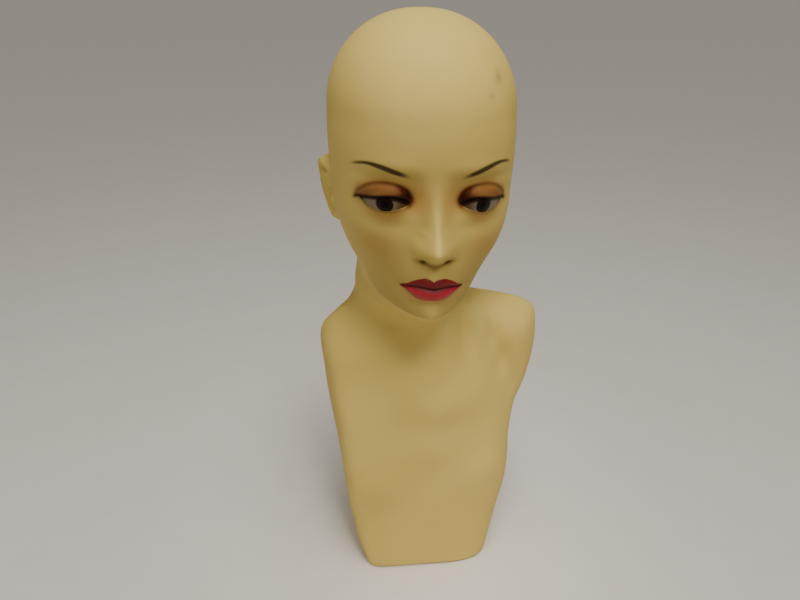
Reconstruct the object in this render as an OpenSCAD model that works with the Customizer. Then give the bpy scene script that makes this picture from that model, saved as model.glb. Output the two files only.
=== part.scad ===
// Display bust: a hollow glass-fibre head, neck and cut-off shoulders on a flat weighted base.
// The face looks along -Y, +Z is up, and the origin lies on the table under the middle of the base.

/* [Torso] */
// Width of the base
base_w = 122; // [110:1:140]
// Depth of the base, front to back
base_d = 104; // [96:1:116]
// Width across the cut shoulders
shoulder_w = 202; // [180:1:220]
// Height of the widest line of the shoulders
shoulder_z = 232; // [215:1:245]
// Depth of the chest at the bust line
chest_d = 114; // [104:1:126]
// Depth of the shoulders, front to back
shoulder_d = 82; // [72:1:94]
// Turn of the shoulders away from the face
shoulder_turn = 9; // [0:1:15]
// Rise of each breast over the chest
breast_rise = 5; // [0:0.5:8]

/* [Neck and head] */
// Width of the neck
neck_w = 100; // [90:1:108]
// Height of the ear line over the table
head_z = 378; // [370:1:392]
// How far the head sits in front of the middle of the base
head_forward = 31; // [24:1:38]
// Sideways place of the head
head_x = -5.3; // [-10:0.1:4]
// Width of the head
head_w = 140; // [130:1:150]
// Length of the head, forehead to back
head_d = 193; // [180:1:205]
// Height of the crown over the ear line
crown_h = 127; // [118:1:136]
// Drop of the chin under the ear line
chin_drop = 75; // [70:1:79]
// Lean of the face, crown towards the bust's left
face_lean = 2.3; // [0:0.1:4]
// How far the nose stands out of the face
nose_rise = 18; // [12:0.5:20]
// How far the ears stand out of the head
ear_rise = 8; // [5:0.5:10]

/* [Shell] */
// Thickness of the glass-fibre laminate
wall = 3; // [2:0.25:4]
// Thickness of the glass tape over the inside of the seams
tape_t = 0.8; // [0.4:0.1:1.5]
// How far the seam lies behind the widest line of the bust, in degrees around it
seam_back = 8; // [4:1:12]

/* [Base] */
// Gap between the table and the shell's lower edge, which the felt keeps open
edge_gap = 1; // [0.5:0.5:2]
// How far the board lies inside the shell's lower edge
board_recess = 2; // [1:0.5:4]
// Thickness of the plywood base board
board_t = 9; // [6:0.5:12]
// Gap between the board's edge and the shell
board_fit = 0.3; // [0.2:0.1:0.6]
// Width of each corner block
block_w = 22; // [18:1:26]
// Depth of each corner block
block_d = 16; // [14:1:20]
// Height of each corner block
block_h = 22; // [18:1:30]
// Distance of the corner blocks from the base's middle, side to side
block_x = 33; // [30:1:36]
// Gap between a corner block and the shell
block_fit = 0.3; // [0.2:0.1:0.6]
// Diameter of the wood screws
screw_d = 4; // [3:0.5:5]
// Length of the wood screws
screw_len = 25; // [16:1:28]

/* [Ballast] */
// Width of the steel ballast plate
plate_w = 84; // [70:1:90]
// Depth of the steel ballast plate
plate_d = 48; // [40:1:52]
// Thickness of the steel ballast plate
plate_t = 14; // [8:1:18]
// Diameter of the ballast bolts
bolt_d = 6; // [5:1:8]
// Distance between the ballast bolts
bolt_pitch = 50; // [40:1:56]
// Gap around each bolt and screw in its hole
hole_fit = 0.2; // [0.1:0.1:0.4]

/* [Eyelashes] */
// Length of the lashes
lash_len = 6; // [4:0.5:8]
// Thickness of the lash strip
lash_t = 0.4; // [0.3:0.1:0.6]

/* [Hidden] */
$fn = 48;

// ---- The bust's form: level rings from the base to the crown ----
// A ring is a rounded box: [x, y, z of its middle, fall of its front in degrees, half width on the
// bust's left (+X) and right (-X), depth to the front and back, squareness of the left front, right
// front and back corners, share of the shoulders' turn].
cut_share = 0.445;   // share of the torso's width on the bust's right, whose arm is cut off flat
front_share = 0.515; // share of the torso's depth in front of the middle
function mix(a, b, k) = a + (b - a) * k;
function torso_ring(z, left, right, depth, square, turn) = [
  0, 0, z, 0, mix(base_w, shoulder_w, left) * (1 - cut_share), mix(base_w, shoulder_w, right) * cut_share,
  depth * front_share, depth * (1 - front_share), square[0], square[1], square[2], turn
];
torso_steps = 9;
torso_shape = [ // width on the left, width on the right, squareness of the corners, share of the turn
  [0, 0, [4, 9, 4], 0],
  [0.12, 0.2, [3.6, 9, 4], 0],
  [0.25, 0.33, [3.2, 9, 4], 0],
  [0.38, 0.46, [3, 9, 3.6], 0.1],
  [0.43, 0.56, [2.8, 9, 3.3], 0.3],
  [0.43, 0.68, [2.7, 9, 3.1], 0.6],
  [0.54, 0.78, [2.6, 8, 3], 0.85],
  [0.79, 0.87, [2.5, 7, 2.8], 1],
  [0.96, 0.93, [2.3, 5, 2.6], 1],
  [1, 1, [2.1, 4, 2.3], 1]
];
torso_depth = [
  base_d, mix(base_d, chest_d, 0.1), mix(base_d, chest_d, 0.3), mix(base_d, chest_d, 0.65),
  mix(base_d, chest_d, 0.95), chest_d, mix(chest_d, shoulder_d, 0.15), mix(chest_d, shoulder_d, 0.38),
  mix(chest_d, shoulder_d, 0.65), mix(chest_d, shoulder_d, 0.87)
];
torso = [
  for (i = [0:torso_steps])
    torso_ring(
      mix(edge_gap, shoulder_z, i / torso_steps), torso_shape[i][0], torso_shape[i][1],
      torso_depth[i], torso_shape[i][2], torso_shape[i][3]
    )
];
// The neck's rings climb from the shoulders to just under the jaw.
throat_z = head_z - 0.96 * chin_drop;
function neck_z(k) = mix(shoulder_z, throat_z, k);
shoulder_left = shoulder_w * (1 - cut_share);
shoulder_right = shoulder_w * cut_share;
neck = [
  [0, -neck_w * 0.01, neck_z(0.2), 0, 0.97 * shoulder_left, 0.98 * shoulder_right,
    shoulder_d * 0.48, shoulder_d * 0.51, 1.8, 3, 1.9, 1],
  [0, -neck_w * 0.02, neck_z(0.33), 0, 0.81 * shoulder_left, 0.9 * shoulder_right,
    shoulder_d * 0.47, shoulder_d * 0.5, 1.4, 2, 1.6, 1],
  [-neck_w * 0.01, -neck_w * 0.03, neck_z(0.41), 0, mix(neck_w / 2, shoulder_left, 0.25),
    mix(neck_w / 2, shoulder_right, 0.58), shoulder_d * 0.49, shoulder_d * 0.51, 1.4, 1.7, 1.6, 1],
  [-neck_w * 0.01, -neck_w * 0.05, neck_z(0.49), 0, neck_w * 0.43,
    mix(neck_w / 2, shoulder_right, 0.36), neck_w * 0.43, neck_w * 0.44, 1.7, 1.7, 1.8, 0.9],
  [-neck_w * 0.02, -neck_w * 0.09, neck_z(0.65), 5, neck_w * 0.355, neck_w * 0.56,
    neck_w * 0.46, neck_w * 0.46, 2, 2, 2, 0.7],
  [-neck_w * 0.04, -neck_w * 0.15, neck_z(0.83), 13, neck_w * 0.365, neck_w * 0.53,
    neck_w * 0.49, neck_w * 0.48, 2, 2, 2, 0.4]
];
// The head's rings: height as a share of the chin's drop or the crown's height, how far the middle lies
// behind the ears as a share of the head's length, fall of the front, share of the half width on the left
// and right, share of the half length to the front and to the back, squareness.
head_shape = [
  [-0.9, 0.0544, 20, 0.66, 0.71, 0.52, 0.52, 1.95],
  [-0.83, 0.0492, 19, 0.65, 0.715, 0.72, 0.545, 1.75],
  [-0.74, 0.0378, 17.5, 0.65, 0.725, 0.89, 0.6, 1.65],
  [-0.61, 0.0326, 17, 0.705, 0.76, 0.985, 0.655, 1.68],
  [-0.4, 0.0275, 15, 0.83, 0.875, 1.02, 0.76, 1.8],
  [-0.19, 0.0218, 13.5, 0.947, 0.937, 1.035, 0.86, 1.9],
  [0, 0.0161, 12, 0.985, 0.967, 1.02, 0.925, 2],
  [0.115, 0.0161, 10.5, 0.99, 0.98, 0.995, 0.965, 2.1],
  [0.245, 0.0161, 8, 1, 0.995, 0.985, 0.98, 2.2],
  [0.377, 0.0161, 4.5, 1, 1, 0.985, 0.98, 2.25],
  [0.493, 0.0161, 0, 0.995, 0.995, 0.96, 0.965, 2.2]
];
function head_height(k) = k < 0 ? k * chin_drop : k * crown_h;
head = [
  for (h = head_shape)
    [head_x, h[1] * head_d - head_forward, head_z + head_height(h[0]), h[2],
      h[3] * head_w / 2, h[4] * head_w / 2, h[5] * head_d / 2, h[6] * head_d / 2, h[7], h[7], 2, 0]
];
rings = concat(torso, neck, head);
spans = len(rings) - 1;
skull_h = (1 - head_shape[len(head_shape) - 1][0]) * crown_h;

// A smooth ring at u spans above the base; past the last ring the crown closes as a dome that carries on
// the slope of the skull under it.
function ring_or_end(i) =
  i < 0 ? 2 * rings[0] - rings[1] :
  i > spans ? 2 * rings[spans] - rings[spans - 1] : rings[i];
function smooth(a, b, c, d, t) =
  b + t / 2 * (c - a + t * (2 * a - 5 * b + 4 * c - d + t * (3 * (b - c) + d - a)));
function body_ring(u) =
  let (i = min(floor(u), spans - 1))
  smooth(ring_or_end(i - 1), ring_or_end(i), ring_or_end(i + 1), ring_or_end(i + 2), u - i);
function crown_ring(angle) =
  let (
    r = rings[spans],
    step = r - rings[spans - 1],
    tip = -step[3] * PI / 180,
    c = max(cos(angle), 0),
    swell = skull_h * sin(angle) * c * c
  )
  [r[0], r[1], r[2] + skull_h * sin(angle), 0,
    r[4] * pow(c, 0.93) + swell * step[4] / step[2],
    r[5] * pow(c, 0.93) + swell * step[5] / step[2],
    r[6] * pow(c, 0.9) + swell * step[6] / (step[2] + r[6] * tip),
    r[7] * pow(c, 0.95) + swell * step[7] / (step[2] - r[7] * tip),
    r[8], r[9], r[10], 0];
// Rows of rings: few up the plain torso, more over the shoulders, and the most over the face.
face_from = len(torso) + len(neck);
function rows_in(i) = i < torso_steps ? 1 : i < face_from ? 2 : i < spans - 1 ? 3 : 2;
crown_rows = 7;
sheet = concat(
  [for (i = [0:spans - 1]) for (k = [0:rows_in(i) - 1]) body_ring(i + k / rows_in(i))],
  [for (k = [0:crown_rows]) crown_ring(90 * k / crown_rows)]
);
top = len(sheet) - 1;

// ---- Raised and hollow forms of the face: [x, z over the ear line, half width, half height, rise] ----
// They are drawn for a head of these sizes and stretch with the head.
drawn_w = 140;
drawn_crown = 127;
drawn_chin = 75;
face_scale = head_w / drawn_w;
face_side = 0.3;      // the face's middle line beside the head's
face_skew = 0.018;    // and its slant, about a place at face_pivot over the ear line
face_pivot = 10;
face_forms = [
  [16.5, 11, 8, 9, -5],      // corner between the nose and the eye
  [34, 24, 18, 4.5, -1.6],   // hollow between the lid and the brow
  [33.5, 10, 13, 8, 3],      // lids over the eyeball
  [51, 9, 8, 8, -1.5],       // outer corner of the eye
  [32, 33, 20, 6, 1.5],      // brow
  [33, -6, 16, 6, -1.5],     // hollow under the eye
  [45, -18, 18, 13, 2],      // cheekbone
  [40, -48, 14, 14, -2],     // cheek beside the mouth
  [9.4, -24, 4.6, 5.5, 7],   // wing of the nose
  [24, -50, 3.5, 4, -1.6]    // corner of the mouth
];
middle_forms = [
  [0, -43, 18, 13, 2],       // round of the mouth
  [0, -44.5, 15, 4, 3],      // upper lip
  [0, -49.5, 20, 1.8, -2],   // line between the lips
  [0, -55, 14, 4.5, 3.8],    // lower lip
  [0, -65, 14, 4, -2.5],     // dip over the chin
  [0, -73, 12, 7, 2.5]       // chin
];
// The nose's bridge: [z over the ear line, share of its rise, half width].
nose_line = [
  [-30, 0, 8], [-27, 0.3, 8], [-22, 0.78, 8], [-17, 1, 7.8], [-12, 0.97, 7],
  [-5, 0.8, 5.8], [5, 0.5, 5.4], [15, 0.24, 6], [25, 0.08, 8], [34, 0, 10]
];
function form(x, z, f) = f[4] * exp(-pow((x - f[0]) / f[2], 2) - pow((z - f[1]) / f[3], 2));
function total(v, i = 0) = i == len(v) ? 0 : v[i] + total(v, i + 1);
function nose(x, z) =
  z <= nose_line[0][0] || z >= nose_line[len(nose_line) - 1][0] ? 0 :
  let (
    share = lookup(z, [for (n = nose_line) [n[0], n[1]]]),
    wide = lookup(z, [for (n = nose_line) [n[0], n[2]]])
  )
  nose_rise * share * exp(-pow(x / wide, 2));
function face_rise(x, z) =
  let (
    paired = total([for (f = face_forms) form(abs(x), z, f)]),
    middle = total([for (f = middle_forms) form(x, z, f)])
  )
  nose(x, z) + face_scale * (paired + middle);
// A place of the face in the drawn head's measures, upright, and the way back.
function drawn(x, z) =
  let (
    dx = x / face_scale,
    dz = z < 0 ? z * drawn_chin / chin_drop : z * drawn_crown / crown_h,
    up = dz * cos(face_lean) + dx * sin(face_lean)
  )
  [dx * cos(face_lean) - dz * sin(face_lean) - face_side - face_skew * (face_pivot - up), up];
function placed(x, z) =
  let (
    side = x + face_side + face_skew * (face_pivot - z),
    dz = z * cos(face_lean) - side * sin(face_lean)
  )
  [face_scale * (side * cos(face_lean) + z * sin(face_lean)),
    dz < 0 ? dz * chin_drop / drawn_chin : dz * crown_h / drawn_crown];

// The ear: a raised oval that leans back, hollow in the middle; f runs to the front, from the ears' place.
ear_half_w = 14 * face_scale;
ear_half_h = 25 * face_scale;
ear_back = 3 * face_scale;   // how far its middle lies behind the ears' place and under the ear line
function ear(f, z) =
  let (
    up = z + ear_back,
    lean = f + 0.2 * up + ear_back,
    oval = exp(-pow(lean / ear_half_w, 4) - pow(up / ear_half_h, 4)),
    bowl = exp(-pow((lean / ear_half_w - 0.15) * 2.3, 2) - pow(2.3 * up / ear_half_h, 2))
  )
  oval * (ear_rise + 0.07 * up - 0.28 * lean) - 0.55 * ear_rise * bowl;

// ---- Raised and hollow forms of the chest, as face_forms: x and z are in the base's middle plane ----
// They are drawn for shoulders of these sizes and stretch with them.
drawn_shoulder_w = 202;
drawn_shoulder_z = 232;
chest_scale = shoulder_w / drawn_shoulder_w;
breast_forms = [            // the rise is a share of breast_rise
  [-46, 104, 27, 26, 1],    // right breast
  [50, 110, 27, 26, 1]      // left breast
];
chest_forms = [
  [-9, 266, 18, 18, 6],     // front of the neck
  [31, 247, 8, 18, -8],     // hollow beside the neck
  [-10, 233, 24, 12, -6],   // pit of the throat
  [0, 192, 34, 24, 17],     // breastbone
  [0, 150, 40, 26, 7],      // foot of the breastbone
  [36, 198, 16, 30, 3],     // chest muscle beside the left arm
  [57, 234, 9, 16, -7],     // groove in front of the left shoulder
  [67, 210, 10, 20, -8],
  [78, 180, 12, 24, -7],    // groove down to the left armpit
  [88, 236, 18, 20, 3]      // round of the left shoulder
];
function chest_rise(x, z) =
  let (
    dx = x / chest_scale,
    dz = z * drawn_shoulder_z / shoulder_z,
    breasts = total([for (f = breast_forms) form(dx, dz, f)]),
    others = total([for (f = chest_forms) form(dx, dz, f)])
  )
  breast_rise * breasts + chest_scale * others;

// ---- Points of the skin ----
// raised: 1 for the outer skin, 0 for the smooth inner form, which takes only the hollows.
function skin_point(r, t, raised) =
  let (
    s = sin(t),
    c = cos(t),
    n = c < 0 ? r[10] : s < 0 ? r[9] : r[8],
    reach = pow(pow(abs(s), n) + pow(abs(c), n), -1 / n),
    x = (s < 0 ? r[5] : r[4]) * reach * s,
    f = (c < 0 ? r[7] : r[6]) * reach * c,
    z = r[2] - f * tan(r[3]),
    on_head = r[11] > 0 ? 0 : r[2] > shoulder_z ? 1 : 0,
    front = max(0, min(1, 3 * c)),
    face = drawn(x, z - head_z),
    rise = front == 0 ? 0 : front * (on_head == 1 ? face_rise(face[0], face[1]) : chest_rise(x, z)),
    kept = raised == 1 ? rise : min(rise, 0),
    side = on_head * raised * (abs(c) < 0.4 ? 1 : 0) * ear(f - r[1] - head_forward, z - head_z),
    turn = shoulder_turn * r[11],
    px = x + sign(x) * side,
    py = -f - kept
  )
  [r[0] + px * cos(turn) - py * sin(turn), r[1] + px * sin(turn) + py * cos(turn), z];

// Columns around the bust: close together over the face, wider at the sides and back.
face_turn = 45;       // how far the close columns reach around the bust, in degrees
side_turn = 90;       // its widest line
full_turn = 360;
face_steps = 13;
side_steps = 9;
back_steps = 20;
seam_t = side_turn + seam_back;
half = concat(
  [for (i = [1:face_steps]) face_turn * i / face_steps * (0.75 + 0.25 * i / face_steps)],
  [for (i = [1:side_steps]) mix(face_turn, seam_t, i / side_steps)]
);
front_n = len(half);
front_cols = concat([for (i = [front_n - 1:-1:0]) -half[i]], [0], half);
back_cols = [for (i = [1:back_steps - 1]) mix(seam_t, full_turn - seam_t, i / back_steps)];
cols = concat(front_cols, back_cols);
turns = len(cols);
function around(j) = (j + turns) % turns;

function skin(raised) = [for (r = sheet) [for (t = cols) skin_point(r, t, raised)]];
function unit(v) = v / norm(v);
function normal_at(g, i, j) =
  unit(cross(g[i][around(j + 1)] - g[i][around(j - 1)], g[min(i + 1, top - 1)][j] - g[max(i - 1, 0)][j]));
// The inner form, a distance d under the smooth one; its lowest row stays level.
function inner(g, d) = [
  for (i = [0:top])
    [for (j = [0:turns - 1])
      i == top ? g[i][j] - [0, 0, d] :
      let (n = normal_at(g, i, j), flat = i == 0 ? unit([n[0], n[1], 0]) : n) g[i][j] - d * flat]
];

// ---- A solid between two sheets of points with the same rows and columns ----
function part_of(g, from, to, rows) = [for (i = rows) [for (j = [from:to]) g[i][around(j)]]];
module between(outer, under, pole) {
  m = len(outer) - 1;
  n = len(outer[0]) - 1;
  rows = pole ? m : m + 1;
  count = rows * (n + 1) + (pole ? 1 : 0);
  function id(i, j) = i == rows ? rows * (n + 1) : i * (n + 1) + j;
  function sheet_points(g) = concat([for (i = [0:rows - 1]) for (p = g[i]) p], pole ? [g[m][0]] : []);
  cells = [for (i = [0:m - 1]) for (j = [0:n - 1]) [i, j]];
  out = [for (c = cells) [id(c[0], c[1]), id(c[0] + 1, c[1]), id(c[0], c[1] + 1)]];
  out_upper = [
    for (c = cells) if (c[0] < rows - 1) [id(c[0] + 1, c[1]), id(c[0] + 1, c[1] + 1), id(c[0], c[1] + 1)]
  ];
  function flipped(faces) = [for (f = faces) [f[0] + count, f[2] + count, f[1] + count]];
  function edge(a, b) = [[a, b, a + count], [b, b + count, a + count]];
  low = [for (j = [0:n - 1]) each edge(id(0, j), id(0, j + 1))];
  high = pole ? [] : [for (j = [0:n - 1]) each edge(id(m, j + 1), id(m, j))];
  left = [for (i = [0:m - 1]) each edge(id(i + 1, 0), id(i, 0))];
  right = [for (i = [0:m - 1]) each edge(id(i, n), id(i + 1, n))];
  polyhedron(
    concat(sheet_points(outer), sheet_points(under)),
    concat(out, out_upper, flipped(out), flipped(out_upper), low, high, left, right)
  );
}

// ---- Shell ----
module shell_between(from, to) {
  rows = [0:top];
  between(part_of(skin(1), from, to, rows), part_of(inner(skin(0), wall), from, to, rows), true);
}
module front_shell() {
  color("#b39f68") shell_between(0, 2 * front_n);
}
module rear_shell() {
  color("#a8935e") shell_between(2 * front_n, turns);
}

// ---- Glass tape over the seams, inside ----
crown_patch_rows = 3;
tape_columns = 1;
module seam_tape(seam) {
  rows = [1:top - crown_patch_rows];
  smooth_skin = skin(0);
  between(
    part_of(inner(smooth_skin, wall), seam - tape_columns, seam + tape_columns, rows),
    part_of(inner(smooth_skin, wall + tape_t), seam - tape_columns, seam + tape_columns, rows), false
  );
}
module seam_tape_left() {
  color("#d8d2b8") seam_tape(2 * front_n);
}
module seam_tape_right() {
  color("#d8d2b8") seam_tape(0);
}
// A dished round cap between the last rows of two sheets of points.
module cap_between(over, under, rows) {
  first = top - rows;
  count = rows * turns + 1;
  function cap_points(g) = concat([for (i = [first:top - 1]) for (p = g[i]) p], [g[top][0]]);
  function at(i, j) = i * turns + around(j);
  cells = [for (i = [0:rows - 2]) for (j = [0:turns - 1]) [i, j]];
  faces = concat(
    [for (c = cells) [at(c[0], c[1]), at(c[0] + 1, c[1]), at(c[0], c[1] + 1)]],
    [for (c = cells) [at(c[0] + 1, c[1]), at(c[0] + 1, c[1] + 1), at(c[0], c[1] + 1)]],
    [for (j = [0:turns - 1]) [at(rows - 1, j), rows * turns, at(rows - 1, j + 1)]]
  );
  flipped = [for (f = faces) [f[0] + count, f[2] + count, f[1] + count]];
  rim = [
    for (j = [0:turns - 1])
      each [
        [at(0, j), at(0, j + 1), at(0, j) + count],
        [at(0, j + 1), at(0, j + 1) + count, at(0, j) + count]
      ]
  ];
  polyhedron(concat(cap_points(over), cap_points(under)), concat(faces, flipped, rim));
}
module crown_patch() {
  smooth_skin = skin(0);
  color("#d8d2b8") cap_between(inner(smooth_skin, wall), inner(smooth_skin, wall + tape_t), crown_patch_rows);
}

// ---- Eyelashes: strips that stand out of the upper lids ----
lash_in = 20;     // where a lash starts and ends, from the middle of the drawn face
lash_out = 50;
lash_steps = 10;
lash_gap = 0.8;   // clear of the shell's flat facets
lid_end_z = 9;    // the lid's edge over the ear line, at its ends and how far its middle bows up
lid_bow = 4.3;
lash_fall = 0.35; // share of a lash's length that it drops and that it fans outwards
lash_fan = 0.25;
function front_of(r, x) =
  let (a = x < 0 ? r[5] : r[4], n = x < 0 ? r[9] : r[8]) r[6] * pow(1 - pow(abs(x) / a, n), 1 / n);
function level_of(r, x) = r[2] - front_of(r, x) * tan(r[3]);
// The ring whose front lies at height z over x, found by halving.
function ring_through(x, z, low, high, left) =
  left == 0 ? body_ring(low) :
  let (middle = (low + high) / 2, under = level_of(body_ring(middle), x) < z)
  ring_through(x, z, under ? middle : low, under ? high : middle, left - 1);
// A point of the skin at a place of the drawn face.
function face_point(x, z) =
  let (p = placed(x, z), r = ring_through(p[0], head_z + p[1], face_from, spans, 14))
  [r[0] + p[0], r[1] - front_of(r, p[0]) - face_rise(x, z), head_z + p[1]];
module eyelashes(side) {
  places = [for (i = [0:lash_steps]) i / lash_steps];
  roots = [
    for (p = places)
      face_point(side * mix(lash_in, lash_out, p), lid_end_z + lid_bow * sin(180 * p)) - [0, lash_gap, 0]
  ];
  tips = [
    for (i = [0:lash_steps])
      roots[i] + lash_len * [side * lash_fan * (2 * places[i] - 0.5), -1, -lash_fall]
  ];
  order = side > 0 ? [0:lash_steps] : [lash_steps:-1:0];
  upper = [[for (i = order) tips[i]], [for (i = order) roots[i]]];
  lower = [for (row = upper) [for (p = row) p - [0, 0, lash_t]]];
  between(upper, lower, false);
}
module eyelashes_left() {
  color("#241a12") eyelashes(1);
}
module eyelashes_right() {
  color("#241a12") eyelashes(-1);
}

// ---- Base: a board screwed to blocks that are glued inside the shell ----
board_z = edge_gap + board_recess;
board_top = board_z + board_t;
block_y = base_d / 2 - wall - block_d;   // inner face of the blocks
screw_y = block_y + block_d / 2;
head_factor = 2;                         // width of a countersunk head in shank widths
tip_room = 1.5;                          // hole left over beyond a screw's tip
// The shell's lowest inner outline, drawn in by d.
function base_outline(d) =
  let (ring = [for (t = cols) skin_point(rings[0], t, 0)])
  [
    for (j = [0:turns - 1])
      let (along = ring[around(j + 1)] - ring[around(j - 1)], out = unit([along[1], -along[0]]))
      [ring[j][0], ring[j][1]] - (wall + d) * out
  ];
module at_screws() {
  for (x = [-block_x, block_x]) for (y = [-screw_y, screw_y]) translate([x, y, board_z]) children();
}
module at_bolts() {
  for (x = [-bolt_pitch / 2, bolt_pitch / 2]) translate([x, 0, 0]) children();
}
// A countersunk fastener standing on its head; gap widens it to its hole.
module countersunk(d, len, gap) {
  cylinder(h = len, d = d + 2 * gap);
  cylinder(h = d * (head_factor - 1) / 2, d1 = d * head_factor + 2 * gap, d2 = d + 2 * gap);
}
module base_board() {
  color("#c9a66b")
    difference() {
      translate([0, 0, board_z]) linear_extrude(board_t) polygon(base_outline(board_fit));
      at_screws() countersunk(screw_d, board_t + 1, hole_fit);
      at_bolts() translate([0, 0, board_z]) countersunk(bolt_d, board_t + 1, hole_fit);
    }
}
module corner_blocks() {
  color("#d8bb86")
    difference() {
      intersection() {
        translate([0, 0, board_top]) linear_extrude(block_h) polygon(base_outline(block_fit));
        for (x = [-block_x, block_x]) for (side = [-1, 1])
          translate([x - block_w / 2, side < 0 ? -base_d : block_y, board_top])
            cube([block_w, base_d - block_y, block_h]);
      }
      at_screws() cylinder(h = screw_len + tip_room, d = screw_d + 2 * hole_fit);
    }
}
module base_screws() {
  color("silver") at_screws() countersunk(screw_d, screw_len, 0);
}

// ---- Ballast: a steel plate bolted down on the board ----
washer_t = 1.6;
washer_d = 2.1 * bolt_d;
nut_h = 0.8 * bolt_d;
nut_d = 1.85 * bolt_d;
thread_end = 2;
plate_top = board_top + plate_t;
module ballast_plate() {
  color("dimgray")
    difference() {
      translate([-plate_w / 2, -plate_d / 2, board_top]) cube([plate_w, plate_d, plate_t]);
      at_bolts() translate([0, 0, board_z]) cylinder(h = plate_top, d = bolt_d + 2 * hole_fit);
    }
}
module ballast_bolts() {
  color("silver")
    at_bolts() translate([0, 0, board_z])
      countersunk(bolt_d, board_t + plate_t + washer_t + nut_h + thread_end, 0);
}
module ballast_washers() {
  color("silver")
    at_bolts() translate([0, 0, plate_top])
      difference() {
        cylinder(h = washer_t, d = washer_d);
        translate([0, 0, -1]) cylinder(h = washer_t + 2, d = bolt_d + 2 * hole_fit);
      }
}
module ballast_nuts() {
  color("silver")
    at_bolts() translate([0, 0, plate_top + washer_t])
      difference() {
        cylinder(h = nut_h, d = nut_d, $fn = 6);
        translate([0, 0, -1]) cylinder(h = nut_h + 2, d = bolt_d + 2 * hole_fit);
      }
}

// ---- Felt: a sheet glued under the board, which the bust stands on ----
module base_felt() {
  color("#3a3a38") linear_extrude(board_z) polygon(base_outline(board_fit));
}

front_shell();
rear_shell();
seam_tape_left();
seam_tape_right();
crown_patch();
eyelashes_left();
eyelashes_right();
base_board();
corner_blocks();
base_screws();
ballast_plate();
ballast_bolts();
ballast_washers();
ballast_nuts();
base_felt();
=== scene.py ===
import math

import bpy
import numpy as np
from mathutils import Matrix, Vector


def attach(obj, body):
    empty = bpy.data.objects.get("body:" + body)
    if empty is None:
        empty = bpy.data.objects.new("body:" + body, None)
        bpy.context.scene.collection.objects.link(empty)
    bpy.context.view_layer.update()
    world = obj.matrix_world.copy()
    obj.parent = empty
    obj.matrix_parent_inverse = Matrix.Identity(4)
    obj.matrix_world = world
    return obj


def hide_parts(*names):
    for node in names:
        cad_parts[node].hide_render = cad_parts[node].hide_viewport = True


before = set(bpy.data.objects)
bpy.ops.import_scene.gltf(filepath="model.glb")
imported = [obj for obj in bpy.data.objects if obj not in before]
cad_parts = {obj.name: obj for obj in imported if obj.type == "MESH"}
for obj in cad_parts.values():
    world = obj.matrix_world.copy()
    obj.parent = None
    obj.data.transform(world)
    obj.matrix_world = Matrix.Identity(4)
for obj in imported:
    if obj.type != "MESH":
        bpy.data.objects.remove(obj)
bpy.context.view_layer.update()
bpy.ops.object.select_all(action="DESELECT")
MM = 0.001

# ---- The bust's form, with the CAD model's sizes, in millimetres ----
# The face looks along -Y. A ring is a rounded box that lies level: [x, y, z of its middle, fall of its
# front in degrees, half width on the bust's left (+X) and right (-X), depth to the front and back,
# squareness of the left front, right front and back corners, share of the shoulders' turn].
BASE_W, BASE_D = 122, 104
SHOULDER_W, SHOULDER_Z, SHOULDER_D = 202, 232, 82
CHEST_D = 114
SHOULDER_TURN = 9
NECK_W = 100
HEAD_Z, HEAD_FORWARD, HEAD_X = 378, 31, -5.3
HEAD_W, HEAD_D = 140, 193
CROWN_H, CHIN_DROP = 127, 75
FACE_LEAN = math.radians(2.3)
WALL = 3
EDGE_GAP = 1
CUT_SHARE = 0.445
FRONT_SHARE = 0.515


def mix(a, b, k):
    return a + (b - a) * k


def torso_ring(z, left, right, depth, square, turn):
    wide_left = mix(BASE_W, SHOULDER_W, left) * (1 - CUT_SHARE)
    wide_right = mix(BASE_W, SHOULDER_W, right) * CUT_SHARE
    front, back = depth * FRONT_SHARE, depth * (1 - FRONT_SHARE)
    return [0, 0, z, 0, wide_left, wide_right, front, back, *square, turn]


# From the base up: share of the way from the base's width to the shoulders' on the left and on the
# right, squareness of the corners, share of the turn, and the depth. These widths, the neck's and the
# head's come from a fit to the real bust's outline, rounded and in places changed.
TORSO_STEPS = [
    (0, 0, (4, 9, 4), 0, BASE_D),
    (0.12, 0.2, (3.6, 9, 4), 0, mix(BASE_D, CHEST_D, 0.1)),
    (0.25, 0.33, (3.2, 9, 4), 0, mix(BASE_D, CHEST_D, 0.3)),
    (0.38, 0.46, (3, 9, 3.6), 0.1, mix(BASE_D, CHEST_D, 0.65)),
    (0.43, 0.56, (2.8, 9, 3.3), 0.3, mix(BASE_D, CHEST_D, 0.95)),
    (0.43, 0.68, (2.7, 9, 3.1), 0.6, CHEST_D),
    (0.54, 0.78, (2.6, 8, 3), 0.85, mix(CHEST_D, SHOULDER_D, 0.15)),
    (0.79, 0.87, (2.5, 7, 2.8), 1, mix(CHEST_D, SHOULDER_D, 0.38)),
    (0.96, 0.93, (2.3, 5, 2.6), 1, mix(CHEST_D, SHOULDER_D, 0.65)),
    (1, 1, (2.1, 4, 2.3), 1, mix(CHEST_D, SHOULDER_D, 0.87)),
]
TORSO_TOP = len(TORSO_STEPS) - 1
TORSO = [
    torso_ring(mix(EDGE_GAP, SHOULDER_Z, i / TORSO_TOP), left, right, depth, square, turn)
    for i, (left, right, square, turn, depth) in enumerate(TORSO_STEPS)
]
# The neck's rings climb from just over the shoulders to just under the jaw.
THROAT_Z = HEAD_Z - 0.96 * CHIN_DROP
SHOULDER_LEFT, SHOULDER_RIGHT = SHOULDER_W * (1 - CUT_SHARE), SHOULDER_W * CUT_SHARE


def neck_z(share):
    return mix(SHOULDER_Z, THROAT_Z, share)


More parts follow.
